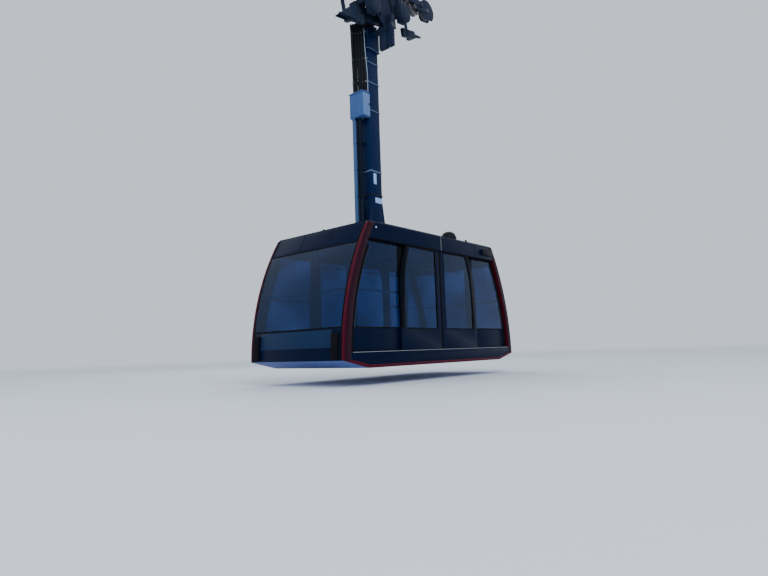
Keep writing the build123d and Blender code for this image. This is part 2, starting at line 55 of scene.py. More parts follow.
# The hanger pin and the cabin's underside give the two places that the pieces are set out
# from: the carriage lies along the sloping rope, with the pin square below the row's
# origin, and the cabin hangs level under the pin, measured from the middle of its underside.
hanger_swing = next(joint for joint in frame["joints"] if joint["name"] == "hanger_swing")
pin = Vector(hanger_swing["pos_m"])
on_rope = Matrix.Rotation(-math.atan2(pin.x, -pin.z), 4, "Y")
in_cabin = Matrix.Translation((pin.x, 0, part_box("under_pan")[0].z))


# The camera stands low beside the cabin's lower end and looks up along it. Its place, turn
# and lens are those that put the cabin's corners where the photograph has them.
picture_width = 768
focal_pixels = 565.9
camera_place = in_cabin @ Vector((-9.869, -8.202, 0.302))
camera_yaw, camera_pitch, camera_roll = (math.radians(turn) for turn in (40.635, 6.297, -1.916))
lens = bpy.data.cameras.new("camera")
lens.sensor_width = 36
lens.lens = lens.sensor_width * focal_pixels / picture_width
lens.clip_end = 400
camera = bpy.data.objects.new("camera", lens)
bpy.context.scene.collection.objects.link(camera)
aim = (
    Matrix.Rotation(camera_yaw - math.pi / 2, 4, "Z")
    @ Matrix.Rotation(math.pi / 2 + camera_pitch, 4, "X")
    @ Matrix.Rotation(camera_roll, 4, "Z")
)
camera.matrix_world = Matrix.Translation(camera_place) @ aim
bpy.context.scene.camera = camera


class Value:
    """A shader socket that Python's operators can add, subtract and multiply."""

    def __init__(self, finish, socket):
        self.finish = finish
        self.socket = socket

    def maths(self, operation, first, second):
        return self.finish.node("ShaderNodeMath", {"operation": operation}, {0: first, 1: second})

    def __add__(self, other):
        return self.maths("ADD", self, other)

    def __sub__(self, other):
        return self.maths("SUBTRACT", self, other)

    def __rsub__(self, other):
        return self.maths("SUBTRACT", other, self)

    def __mul__(self, other):
        return self.maths("MULTIPLY", self, other)

    def __gt__(self, other):
        return self.maths("GREATER_THAN", self, other)


class Finish:
    """A procedural material around one Principled shader."""

    def __init__(self, name, **fixed):
        self.material = bpy.data.materials.new(name)
        self.material.use_nodes = True
        self.tree = self.material.node_tree
        self.shader = self.tree.nodes["Principled BSDF"]
        for socket, value in fixed.items():
            self.shader.inputs[socket.replace("_", " ")].default_value = value
        self.place = self.node("ShaderNodeTexCoord", output="Object")

    def node(self, kind, settings=None, inputs=None, output=0):
        """One node with its settings, then the values or links of its sockets."""
        made = self.tree.nodes.new(kind)
        for setting, value in (settings or {}).items():
            if setting == "stops":
                for stop, (position, grey) in zip(made.color_ramp.elements, value):
                    stop.position = position
                    stop.color = (grey, grey, grey, 1)
            else:
                setattr(made, setting, value)
        self.feed(made, inputs or {})
        return Value(self, made.outputs[output])

    def feed(self, target, inputs):
        for socket, value in inputs.items():
            if isinstance(value, Value):
                self.tree.links.new(value.socket, target.inputs[socket])
            else:
                target.inputs[socket].default_value = value

    def noise(self, scale, detail=3, stretch=(1, 1, 1)):
        """Cloudy noise in metres, stretched along the axes."""
        spread = self.node("ShaderNodeMapping", inputs={"Vector": self.place, "Scale": stretch})
        return self.node("ShaderNodeTexNoise", inputs={"Vector": spread, "Scale": scale, "Detail": detail})

    def rise(self, value, low, high):
        """0 where a value is low, 1 where it is high, and smooth between."""
        return self.node("ShaderNodeValToRGB", {"stops": [(low, 0), (high, 1)]}, {0: value})

    def mix(self, factor, first, second):
        """A colour between two colours."""
        return self.node("ShaderNodeMix", {"data_type": "RGBA"}, {0: factor, 6: first, 7: second}, output=2)

    def dress(self, colour, roughness, relief, depth):
        """Feeds the shader a colour, a roughness and a relief of a depth in metres."""
        bump = self.node("ShaderNodeBump", inputs={"Height": relief, "Distance": depth})
        self.feed(self.shader, {"Base Color": colour, "Roughness": roughness, "Normal": bump})
        return self.material


# Pale studio: a wide floor a third of a metre below the hanging cabin, which fades into the
# lit surround, and three large soft lights above it that don't show through the windows.
floor_drop = 0.32
floor_radius = 140
surround_colour = (0.79, 0.86, 0.96, 1)

floor_shape = bmesh.new()
bmesh.ops.create_circle(floor_shape, cap_ends=True, segments=96, radius=floor_radius)
floor_shape.transform(in_cabin @ Matrix.Translation((0, 0, -floor_drop)))
floor_mesh = bpy.data.meshes.new("studio_floor")
floor_shape.to_mesh(floor_mesh)
floor_shape.free()
studio_floor = bpy.data.objects.new("studio_floor", floor_mesh)
bpy.context.scene.collection.objects.link(studio_floor)
pale = Finish("studio_floor_pale", Roughness=0.9)
reach = pale.node("ShaderNodeVectorMath", {"operation": "LENGTH"}, {0: pale.place}, output="Value")
glow = pale.node("ShaderNodeEmission", inputs={"Color": surround_colour})
clouds = pale.noise(0.4)
ground_colour = pale.mix(clouds, (0.70, 0.75, 0.82, 1), (0.74, 0.79, 0.86, 1))
pale.feed(pale.shader, {"Base Color": ground_colour})
ground = Value(pale, pale.shader.outputs[0])
far = pale.rise(reach * (1 / floor_radius), 0.08, 0.5)
faded = pale.node("ShaderNodeMixShader", inputs={0: far, 1: ground, 2: glow})
pale.feed(pale.tree.nodes["Material Output"], {"Surface": faded})
floor_mesh.materials.append(pale.material)

surround = bpy.data.worlds.new("surround")
surround.use_nodes = True
backdrop = surround.node_tree.nodes["Background"]
backdrop.inputs["Color"].default_value = surround_colour
bpy.context.scene.world = surround

lit_height = 2
lamps = [
    # name, place from the cabin, side, watts
    ("key_light", (-9, -13, 13), 9, 1400),
    ("fill_light", (-16, 1, 9), 8, 400),
    ("back_light", (9, 12, 12), 8, 700),
]
for name, place, side, watts in lamps:
    light = bpy.data.lights.new(name, "AREA")
    light.size = side
    light.energy = watts
    lamp = bpy.data.objects.new(name, light)
    bpy.context.scene.collection.objects.link(lamp)
    lamp.visible_transmission = False
    lamp.location = in_cabin @ Vector(place)
    sight = in_cabin @ Vector((0, 0, lit_height)) - lamp.location
    lamp.rotation_euler = sight.to_track_quat("-Z", "Y").to_euler()

# Carriage plates: welded steel sheets in dark paint, the frame outside, the rockers and
# bogies inside it, with angle flanges along the frame's edges and dull steel bolts at the
# joints.


def painted(name, colour, grime, roughness, dirt=0.5, shine=0.12, pattern=None, second=None):
    """Sprayed paint: faint clouding, rain runs and an orange peel, with a second colour, black
    unless it is named, where a pattern asks for it."""
    finish = Finish(name, Specular_IOR_Level=shine, Specular_Tint=(0.30, 0.55, 1.0, 1))
    runs = finish.noise(6, detail=4, stretch=(1, 1, 0.08))
    peel = finish.noise(240, detail=1)
    soiled = finish.rise(finish.noise(0.8, detail=5) * 0.5 + runs * 0.5, 0.42, 0.74) * dirt
    sprayed = finish.mix(pattern(finish), colour, second or jet_black) if pattern else colour
    coated = finish.mix(soiled, sprayed, grime)
    return finish.dress(coated, soiled * 0.3 + peel * 0.05 + roughness, peel, 0.0002)


def bare_metal(name, colour, roughness, spangle=0.25):
    """Bare or galvanised steel: crystals in two tones under fine drawn scratches."""
    finish = Finish(name, Metallic=0.85)
    cells = finish.node("ShaderNodeTexVoronoi", inputs={"Vector": finish.place, "Scale": 55}, output="Color")
    tone = finish.node("ShaderNodeSeparateColor", inputs={0: cells})
    scratches = finish.noise(90, detail=2, stretch=(1, 1, 0.05))
    darker = tuple(part * 0.6 for part in colour[:3]) + (1,)
    tint = finish.mix(tone * spangle + scratches * 0.2, colour, darker)
    return finish.dress(tint, tone * 0.12 + roughness, scratches, 0.0002)


jet_black = (0.002, 0.002, 0.003, 1)
carriage_paint = painted("carriage_paint", (0.008, 0.014, 0.034, 1), (0.030, 0.036, 0.048, 1), 0.45, 0.7)
bare_steel = bare_metal("bare_steel", (0.42, 0.42, 0.44, 1), 0.35)
dull_steel = bare_metal("dull_steel", (0.085, 0.095, 0.11, 1), 0.5)
roller_iron = bare_metal("roller_iron", (0.13, 0.13, 0.14, 1), 0.5)


def coat(material, *names):
    """Gives CAD nodes a finish."""
    for name in names:
        nodes[name].data.materials.clear()
        nodes[name].data.materials.append(material)


def break_edges(shape, verts, width, least=70):
    """Bevels the edges of some vertices that turn by more than an angle."""
    edges = {edge for vert in verts for edge in vert.link_edges}
    sharp = [edge for edge in edges if edge.is_manifold and edge.calc_face_angle() > math.radians(least)]
    bmesh.ops.bevel(
        shape, geom=sharp, offset=width, offset_type="OFFSET", affect="EDGES", segments=2,
        profile=0.5, material=-1, clamp_overlap=True,
    )


def block(shape, low, high, width=0.003):
    """A box between two corners, with its edges broken."""
    low, high = Vector(low), Vector(high)
    verts = bmesh.ops.create_cube(shape, size=1)["verts"]
    bmesh.ops.scale(shape, vec=high - low, verts=verts)
    bmesh.ops.translate(shape, vec=(low + high) / 2, verts=verts)
    if width:
        break_edges(shape, verts, width)


turn_to = {
    "x": Matrix.Rotation(math.pi / 2, 4, "Y"),
    "y": Matrix.Rotation(-math.pi / 2, 4, "X"),
    "z": Matrix.Identity(4),
}


def barrel(shape, start, axis, length, radius, sides=24, width=0.002):
    """A round or sided piece from a point along an axis, with its rims broken."""
    middle = Matrix.Translation(Vector(start)) @ turn_to[axis] @ Matrix.Translation((0, 0, length / 2))
    verts = bmesh.ops.create_cone(
        shape, cap_ends=True, segments=sides, radius1=radius, radius2=radius,
        depth=abs(length), matrix=middle,
    )["verts"]
    if width:
        break_edges(shape, verts, width)


def bolt(shape, start, axis, size, side=1):
    """A washer and a chamfered hexagon head, on the plus or minus side of a face."""
    barrel(shape, start, axis, side * size * 0.25, size, sides=16, width=0)
    step = Vector({"x": (1, 0, 0), "y": (0, 1, 0), "z": (0, 0, 1)}[axis]) * side * size * 0.25
    barrel(shape, Vector(start) + step, axis, side * size * 0.6, size * 0.85, sides=6, width=size * 0.12)


def piece(name, shape, place, body, material):
    """Turns a shape into a finished object that rides on a body."""
    shape.transform(place)
    bmesh.ops.recalc_face_normals(shape, faces=shape.faces)
    mesh = bpy.data.meshes.new(name)
    shape.to_mesh(mesh)
    shape.free()
    mesh.shade_smooth()
    mesh.set_sharp_from_angle(angle=math.radians(35))
    mesh.materials.append(material)
    made = bpy.data.objects.new(name, mesh)
    bpy.context.scene.collection.objects.link(made)
    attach(made, body)
    return made


def eased(node, width, body, material, first=None):
    """A copy of a CAD node with its sharp edges broken, shown in the node's place."""
    shape = bmesh.new()
    shape.from_mesh(nodes[node].data)
    bmesh.ops.remove_doubles(shape, verts=shape.verts, dist=0.00005)
    bmesh.ops.dissolve_limit(shape, angle_limit=math.radians(1), verts=shape.verts, edges=shape.edges)
    if first:
        first(shape)
    break_edges(shape, shape.verts, width, least=30)
    made = piece(f"{node}_eased", shape, Matrix.Identity(4), body, material)
    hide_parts(node)
    return made


for name, width in [("carriage_frame", 0.003), ("rockers", 0.002), ("bogies", 0.002)]:
    eased(name, width, "carriage", carriage_paint)
coat(bare_steel, "roller_axles")

frame_face = 0.138
near_chord_half, far_chord_half = 1.23, 1.10
chord_low, chord_top = 0.32, 0.49
flange_thick, flange_reach = 0.012, 0.045
roller_pitch, roller_height = 0.56, 0.215
flanges = bmesh.new()
for side, half in ((-1, near_chord_half), (1, far_chord_half)):
    for level in (chord_low, chord_top - flange_thick):
        near, far = sorted((side * (frame_face - 0.001), side * (frame_face + flange_reach)))
        block(flanges, (-half, near, level), (half, far, level + flange_thick))
for place in (-0.52, -0.25, 0.25, 0.52):
    low = -0.40 if abs(place) < 0.4 else -0.028
    block(flanges, (place - 0.008, -frame_face - 0.055, low), (place + 0.008, -frame_face + 0.001, chord_low))
piece("frame_flanges", flanges, on_rope, "carriage", carriage_paint)

frame_bolts = bmesh.new()
for side in (-1, 1):
    for number in range(15):
        bolt(frame_bolts, (-0.98 + number * 0.14, side * frame_face, 0.405), "y", 0.014, side)
    for place in (-1.68, 1.68):
        bolt(frame_bolts, (place, side * 0.112, 0.30), "y", 0.04, side)
    for number in range(8):
        bolt(frame_bolts, ((number - 3.5) * roller_pitch, side * 0.093, roller_height), "y", 0.026, side)
    for place in (-0.65, -0.47, 0.47, 0.65):
        for level in (0.08, 0.20):
            bolt(frame_bolts, (place, side * frame_face, level), "y", 0.016, side)
piece("frame_bolts", frame_bolts, on_rope, "carriage", dull_steel)

# Rollers: cast grooved wheels that stand in one line on the rope, four under each rocker, on
# sealed bearings, with a ring of bolts that clamps each worn tread.
clamp_ring = 0.112
for number in range(1, 9):
    coat(roller_iron, f"roller_{number}")
    middle = (number - 4.5) * roller_pitch
    clamps = bmesh.new()
    for spoke in range(8):
        angle = math.radians(45 * spoke)
        across = middle + clamp_ring * math.cos(angle)
        height = roller_height + clamp_ring * math.sin(angle)
        for side in (-1, 1):
            bolt(clamps, (across, side * 0.016, height), "y", 0.012, side)
    piece(f"roller_{number}_bolts", clamps, on_rope, f"roller_{number}", bare_steel)

# Rope brakes: cast housings bolted to the drop plates, each with a cover over its springs.
# Two jaws between each pair close on the rope when the springs are let go.
eased("rope_brakes", 0.012, "carriage", carriage_paint)
brake_place, brake_face, brake_middle = 0.56, 0.330, -0.28
jaw_half = 0.13
cover_radius, cover_ring = 0.125, 0.105
shoes = bmesh.new()
brake_bolts = bmesh.new()
for middle in (-brake_place, brake_place):
    block(shoes, (middle - jaw_half, -0.139, -0.125), (middle + jaw_half, 0.139, -0.035), 0.006)
    for side in (-1, 1):
        near, far = sorted((side * 0.030, side * 0.045))
        block(shoes, (middle - jaw_half, near, -0.036), (middle + jaw_half, far, 0.012), 0.004)
        cover = (middle, side * (brake_face - 0.001), brake_middle)
        barrel(shoes, cover, "y", side * 0.011, cover_radius, sides=40, width=0.004)
        for number in range(8):
            angle = math.radians(45 * number)
            across = middle + cover_ring * math.cos(angle)
            height = brake_middle + cover_ring * math.sin(angle)
            bolt(brake_bolts, (across, side * (brake_face + 0.010), height), "y", 0.009, side)
        for column in (-0.14, 0.14):
            for row in (-0.14, -0.07):
                bolt(brake_bolts, (middle + column, side * brake_face, row), "y", 0.012, side)
piece("brake_shoes", shoes, on_rope, "carriage", carriage_paint)
piece("brake_bolts", brake_bolts, on_rope, "carriage", dull_steel)

# Brake unit: a welded steel casing between the far brakes, with a screwed lid, ribs pressed
# into its lower side, and pressure pipes that run out to the housings.
eased("brake_unit", 0.010, "carriage", carriage_paint)
unit_half, unit_low, unit_top, unit_face = 0.38, -0.40, -0.10, 0.300
lid_inset = 0.03
unit_lid = bmesh.new()
lid_low = (-unit_half + lid_inset, unit_face - 0.001, unit_low + lid_inset)
block(unit_lid, lid_low, (unit_half - lid_inset, unit_face + 0.006, unit_top - lid_inset), 0.003)
for place in (-0.24, -0.12, 0, 0.12, 0.24):
    block(unit_lid, (place - 0.012, 0.16, unit_low - 0.006), (place + 0.012, 0.28, unit_low + 0.002), 0.003)
piece("unit_lid", unit_lid, on_rope, "carriage", carriage_paint)
unit_pipes = bmesh.new()
for level in (-0.065, -0.085):
    barrel(unit_pipes, (-0.62, 0.20 - level, level), "x", 1.24, 0.009, sides=12)
for place in (-0.33, -0.11, 0.11, 0.33):
    for level in (unit_low + 0.05, unit_top - 0.05):
        bolt(unit_pipes, (place, unit_face + 0.006, level), "y", 0.009)
    block(unit_pipes, (place - 0.015, 0.25, -0.102), (place + 0.015, 0.30, -0.052), 0.003)
piece("unit_pipes", unit_pipes, on_rope, "carriage", dull_steel)

# End guards: bent sheet covers over the outer rollers, painted with the carriage, and the
# haul rope's brackets, clamps and sockets below the rope.
eased("end_guards", 0.002, "carriage", carriage_paint)
eased("haul_sockets", 0.006, "carriage", carriage_paint)
haul_height = -0.54
haul_bolts = [
    # distance from the middle, depth of the face, height above and below the rope, sides
    (0.82, 0.04, 0.06, (-1, 1)),
    (0.98, 0.055, 0.05, (-1, 1)),
    (1.15, 0.055, 0.05, (-1,)),
]
haul_pins = bmesh.new()
for side in (-1, 1):
    for place, depth, drop, faces in haul_bolts:
        for level in (haul_height - drop, haul_height + drop):
            for face in faces:
                bolt(haul_pins, (side * place, face * depth, level), "y", 0.020, face)
    for place in (1.14, 1.20):
        for level in (0.35, 0.44):
            bolt(haul_pins, (side * place, 0.156, level), "y", 0.014)
piece("haul_pins", haul_pins, on_rope, "carriage", dull_steel)

# Rope guard: a folded sheet wedge that shields the lower haul socket from ice, with two
# cheeks and a roof, riveted to the socket's clamp body.


def sheet(shape, outline, near, far):
    """A flat sheet cut to an outline in the XZ plane, from one depth to another."""
    verts = [shape.verts.new((across, near, height)) for across, height in outline]
    edge_loop = shape.faces.new(verts)
    grown = bmesh.ops.extrude_face_region(shape, geom=[edge_loop], use_keep_orig=True)["geom"]
    far_verts = [item for item in grown if isinstance(item, bmesh.types.BMVert)]
    bmesh.ops.translate(shape, vec=(0, far - near, 0), verts=far_verts)
    bmesh.ops.recalc_face_normals(shape, faces=shape.faces)
    break_edges(shape, verts + far_verts, 0.0015)


guard_half, sheet_thick = 0.092, 0.004
rope_guard = bmesh.new()
guard_top = [(-1.58, -0.575), (-1.27, -0.385), (-1.08, -0.325)]
guard_cheek = [(-1.08, -0.625), (-1.27, -0.610), (-1.58, -0.590), *guard_top]
sheet(rope_guard, guard_cheek, -guard_half, -guard_half + sheet_thick)
sheet(rope_guard, guard_cheek, guard_half - sheet_thick, guard_half)
roof_strip = [*guard_top, *[(across, height - sheet_thick) for across, height in reversed(guard_top)]]
sheet(rope_guard, roof_strip, -guard_half, guard_half)
for side in (-1, 1):
    for across, height in ((-1.12, -0.40), (-1.12, -0.56), (-1.26, -0.44), (-1.26, -0.58)):
        bolt(rope_guard, (across, side * guard_half, height), "y", 0.008, side)
piece("rope_guard", rope_guard, on_rope, "carriage", carriage_paint)

# Yoke and pin: heavy blocks bolted plumb on both faces of the web, with a turned steel pin
# through their bosses and the hanger's head, held by end plates.
pin_height = 7.955
yoke_near = -0.290
eased("yoke", 0.008, "carriage", carriage_paint)
coat(dull_steel, "hanger_pin")
pin_plates = bmesh.new()
barrel(pin_plates, (0, yoke_near, pin_height), "y", -0.014, 0.068, width=0.004)
for number in range(6):
    angle = math.radians(60 * number)
    around = (math.cos(angle), math.sin(angle))
    bolt(pin_plates, (0.05 * around[0], yoke_near - 0.014, pin_height + 0.05 * around[1]), "y", 0.009, -1)
    bolt(pin_plates, (0.065 * around[0], 0.702, pin_height + 0.065 * around[1]), "y", 0.012)
for column in (-0.028, 0.028):
    for level in (7.50, 7.62, 7.74, 8.13, 8.20):
        bolt(pin_plates, (column, yoke_near, level), "y", 0.012, -1)
piece("pin_plates", pin_plates, in_cabin, "carriage", dull_steel)

# Mast: a welded box tube in blue-black paint with zinc bands and, lowest, a black strap. Its
# solid head stands on a thin zinc flange. The two blank plates are enamelled and screwed on.
hanger_paint = painted("hanger_paint", (0.003, 0.011, 0.046, 1), (0.012, 0.022, 0.050, 1), 0.40, shine=0.09)
zinc_steel = bare_metal("zinc_steel", (0.62, 0.65, 0.68, 1), 0.45, 0.4)
enamel = painted("label_enamel", (0.31, 0.50, 0.92, 1), (0.22, 0.34, 0.58, 1), 0.3, 0.4, 0.3)
mast_half = 0.185
black_row = 0.633
mast_near, mast_far = 0.39, 0.67
head_near = 0.34
band_heights = (3.96, 4.53, 6.03, 6.73, 7.24)
strap_top = 4.2
flange_low, flange_top, flange_half = 7.553, 7.569, 0.215
eased("hanger_mast", 0.010, "cabin", hanger_paint)
eased("hanger_head", 0.010, "cabin", hanger_paint)


def strap(finish):
    """1 on the lowest band of the mast, which is a black strap."""
    height = finish.node("ShaderNodeSeparateXYZ", inputs={0: finish.place}, output="Z")
    return 1 - (height > in_cabin.translation.z + strap_top)


collar_zinc = painted("collar_zinc", (0.085, 0.13, 0.22, 1), (0.05, 0.07, 0.11, 1), 0.45, 0.6, 0.3, strap)
coat(collar_zinc, "mast_collars")
plates = bmesh.new()
block(plates, (-0.10, mast_near - 0.004, 4.22), (0.0, mast_near, 4.48), 0.0015)
block(plates, (-0.06, mast_near - 0.004, 3.77), (0.18, mast_near, 3.90), 0.0015)
piece("mast_plates", plates, in_cabin, "cabin", enamel)
collar_bolts = bmesh.new()
for height in band_heights:
    for column in (-0.12, 0.12):
        bolt(collar_bolts, (column, mast_near - 0.012, height), "y", 0.009, -1)
for near, far in ((head_near - 0.012, head_near - 0.010), (mast_far + 0.010, mast_far + 0.012)):
    block(collar_bolts, (-flange_half, near, flange_low), (flange_half, far, flange_top), 0)
for left in (-flange_half - 0.002, flange_half):
    low = (left, head_near - 0.012, flange_low)
    block(collar_bolts, low, (left + 0.002, mast_far + 0.012, flange_top), 0)
piece("collar_bolts", collar_bolts, in_cabin, "cabin", collar_zinc)

# Equipment box: folded sheet in blue-grey paint under a rain cover, with a door on its near side in a lighter
# copy of the paint, painted light for the face that catches more light, and cable glands below. Two pipes and
# two black cables run down to the cabin, clipped to the mast; the thinner pipe and its clips are painted
# black as shade.
box_paint = painted("box_grey_paint", (0.050, 0.105, 0.275, 1), (0.036, 0.072, 0.17, 1), 0.42)
# The door's lighter paint is painted light: the near face of the box is shown brighter than its other faces.
box_door_painted_light = painted("box_door_painted_light", (0.125, 0.21, 0.43, 1), (0.075, 0.13, 0.26, 1), 0.40)
black_paint = painted("black_trim_paint", jet_black, (0.006, 0.007, 0.010, 1), 0.45, 0.3, 0.05)
box_low, box_top = 5.81, 6.41
box_left, box_right = -0.447, -0.197
box_near, box_far = 0.35, 0.775
eased("equipment_box", 0.008, "cabin", box_paint)
box_door = bmesh.new()
door_low = (box_left + 0.010, box_near - 0.010, box_low + 0.02)
block(box_door, door_low, (box_right - 0.006, box_near, box_top - 0.03), 0.004)
piece("box_door", box_door, in_cabin, "cabin", box_door_painted_light)
box_cover = bmesh.new()
cover_low = (box_left - 0.022, box_near - 0.016, box_top - 0.012)
block(box_cover, cover_low, (box_right, box_far + 0.01, box_top + 0.006), 0.003)
piece("box_cover", box_cover, in_cabin, "cabin", box_paint)
fittings = bmesh.new()
latch_low = (box_right - 0.040, box_near - 0.018, 6.09)
block(fittings, latch_low, (box_right - 0.020, box_near - 0.010, 6.15), 0.002)
for column in (0.42, 0.47):
    barrel(fittings, (-0.27, column, box_low), "z", -0.035, 0.016, sides=12)
piece("box_fittings", fittings, in_cabin, "cabin", black_paint)


def cables_and_pipe_shade(finish):
    """1 on the thinner pipe, the cables and their clips, 0 on the thick pipe; the thinner pipe's black is
    painted shade from the gap beside the mast.
    """
    row = finish.node("ShaderNodeSeparateXYZ", inputs={0: finish.place}, output="Y")
    return 1 - (row > black_row)


# The black on the thinner pipe and its clips is painted shade.
pipe_zinc = painted("pipe_zinc", (0.050, 0.098, 0.21, 1), (0.030, 0.050, 0.090, 1), 0.42, 0.4, 0.1, cables_and_pipe_shade)
coat(pipe_zinc, "mast_pipes")
pipe_foot = 2.76
clips = bmesh.new()
for column, row, radius in ((-0.400, 0.680, 0.046), (-0.330, 0.560, 0.038)):
    barrel(clips, (column, row, box_low), "z", -0.05, radius + 0.008, width=0.003)
    for height in (3.25, 3.9, 4.55, 5.2):
        barrel(clips, (column, row, height - 0.018), "z", 0.036, radius + 0.004, width=0.002)
        block(clips, (column, row - 0.028, height - 0.018), (-mast_half, row - 0.022, height + 0.018), 0.002)
for column, row in ((-0.362, 0.628), (-0.340, 0.606)):
    barrel(clips, (column, row, pipe_foot), "z", box_low - pipe_foot, 0.019, sides=16, width=0)
piece("pipe_clips", clips, in_cabin, "cabin", pipe_zinc)

# Hose rack: stiff rubber hoses from the top of the mast down into the box, five thick and
# nine thin, gathered by clamps and ferrules, with a zinc conduit bent along them. A bundle
# bends on round the pin, over the mast's head.


def moulded(name, colour, roughness, grain=0.0004, shine=0.12):
    """Rubber or plastic: a fine even grain with dusty patches."""
    finish = Finish(name, Specular_IOR_Level=shine)
    dust = finish.noise(2.5, detail=4)
    dusty = tuple(part * 0.8 + 0.006 for part in colour[:3]) + (1,)
    tint = finish.mix(finish.rise(dust, 0.45, 0.8) * 0.6, colour, dusty)
    return finish.dress(tint, dust * 0.12 + roughness, finish.noise(320, detail=1), grain)


hose_rubber = moulded("hose_rubber", (0.009, 0.011, 0.015, 1), 0.55, shine=0.08)
hose_places = [(-0.240, 0.425), (-0.262, 0.492), (-0.290, 0.558), (-0.332, 0.622), (-0.388, 0.676)]
eased("hose_rack", 0.002, "cabin", hose_rubber)
ferrules = bmesh.new()
for column, row in hose_places:
    barrel(ferrules, (column, row, box_top + 0.006), "z", 0.07, 0.029, width=0.003)
    for height in (6.70, 7.29, 7.96):
        barrel(ferrules, (column, row, height - 0.016), "z", 0.046, 0.031, sides=20, width=0.003)
piece("hose_ferrules", ferrules, in_cabin, "cabin", dull_steel)


def rod(shape, start, end, radius, sides=16):
    """A round bar between two points."""
    run = Vector(end) - Vector(start)
    along = run.to_track_quat("Z", "Y").to_matrix().to_4x4()
    bmesh.ops.create_cone(
        shape, cap_ends=True, segments=sides, radius1=radius, radius2=radius, depth=run.length,
        matrix=Matrix.Translation((Vector(start) + Vector(end)) / 2) @ along,
    )


thin_radius, thick_radius = 0.017, 0.024
rack_top = 8.20
thin_hoses = bmesh.new()
thin_runs = [
    # top place, foot place
    ((-0.236, 0.472), (-0.236, 0.472)),
    ((-0.262, 0.537), (-0.270, 0.530)),
    ((-0.300, 0.600), (-0.296, 0.596)),
    ((-0.345, 0.662), (-0.352, 0.660)),
    ((-0.330, 0.668), (-0.312, 0.650)),
    ((-0.425, 0.700), (-0.350, 0.640)),
    ((-0.405, 0.712), (-0.372, 0.690)),
    ((-0.228, 0.500), (-0.228, 0.440)),
    ((-0.310, 0.640), (-0.250, 0.560)),
]
for top_place, foot_place in thin_runs:
    rod(thin_hoses, (*foot_place, box_top), (*top_place, rack_top), thin_radius)
for column, row in hose_places:
    rod(thin_hoses, (column, row, 8.035), (column + 0.01, row, 8.21), thick_radius, sides=20)
block(thin_hoses, (-0.43, 0.40, 8.14), (-0.21, 0.72, 8.16), 0.003)


def around_pin(reach, degrees):
    """The place across and the height of a point at a distance from the pin's axis."""
    angle = math.radians(degrees)
    return reach * math.cos(angle), pin_height + reach * math.sin(angle)


for reach in (0.232, 0.278, 0.324):
    for column, row in hose_places:
        bend = [(column + 0.01, row, rack_top)]
        for degrees in (125, 108, 90, 72, 55):
            across, height = around_pin(reach, degrees)
            bend.append((across, row, height))
        for start, end in zip(bend, bend[1:]):
            rod(thin_hoses, start, end, thick_radius)
end_clamp = [around_pin(*corner) for corner in ((0.203, 53), (0.353, 53), (0.353, 60), (0.203, 60))]
sheet(thin_hoses, end_clamp, 0.39, 0.71)
piece("thin_hoses", thin_hoses, in_cabin, "cabin", hose_rubber)
conduit_zinc = bare_metal("conduit_zinc", (0.26, 0.32, 0.42, 1), 0.5)
conduit = bmesh.new()
bends = [(-0.285, 0.384, 8.02), (-0.280, 0.384, 7.60), (-0.214, 0.384, 6.90), (-0.214, 0.384, box_top)]
for start, end in zip(bends, bends[1:]):
    rod(conduit, start, end, 0.011)
for bend in bends[1:3]:
    bmesh.ops.create_icosphere(conduit, subdivisions=2, radius=0.0115, matrix=Matrix.Translation(bend))
for left, height in ((-0.27, 6.71), (-0.27, 7.30), (-0.30, 7.97)):
    block(conduit, (left, 0.372, height - 0.012), (-0.19, 0.396, height + 0.012), 0.003)
piece("conduit", conduit, in_cabin, "cabin", conduit_zinc)

# Foot and roof beams: the hanger stands on a plate with gussets, bolted through the roof
# to two cross beams.
foot_top, beam_top = 2.76, 2.82
eased("hanger_foot", 0.004, "cabin", hanger_paint)
eased("roof_beams", 0.006, "cabin", carriage_paint)
foot_bolts = bmesh.new()
for column in (-0.41, -0.26, 0.26, 0.41):
    for row in (0.31, 0.75):
        bolt(foot_bolts, (column, row, foot_top), "z", 0.022)
for column in (-0.51, 0.51):
    for row in (-0.8, -0.4, 0, 0.82):
        bolt(foot_bolts, (column, row, beam_top), "z", 0.016)
piece("foot_bolts", foot_bolts, in_cabin, "cabin", zinc_steel)

# Roof: a flat painted skin lined below with pale laminate, with dull metal drip edges, a
# hatch, stiffening ribs and two stubs, and the dome of an aerial near the door side.
cabin_colour, cabin_grime = (0.0025, 0.0055, 0.022, 1), (0.007, 0.012, 0.030, 1)
cabin_paint = painted("cabin_dark_paint", cabin_colour, cabin_grime, 0.26, 0.35, 0.05)
rail_steel = bare_metal("rail_steel", (0.60, 0.61, 0.63, 1), 0.28, 0.05)
roof_top, header_top, ceiling_height = 2.73, 2.698, 2.634
half_width = 1.33


def both_ends(shape):
    """Repeats what stands at the cabin's lower end at its upper end."""
    everything = [*shape.verts, *shape.edges, *shape.faces]
    bmesh.ops.mirror(shape, geom=everything, matrix=Matrix.Identity(4), merge_dist=-1, axis="X")


def both_sides(shape):
    """Repeats what stands on the cabin's near side on its far side."""
    everything = [*shape.verts, *shape.edges, *shape.faces]
    bmesh.ops.mirror(shape, geom=everything, matrix=Matrix.Identity(4), merge_dist=-1, axis="Y")


def ceiling(finish):
    """1 on the roof's underside between the walls, which is lined with a pale laminate."""
    height = finish.node("ShaderNodeSeparateXYZ", inputs={0: finish.place}, output="Z")
    return 1 - (height > in_cabin.translation.z + ceiling_height)


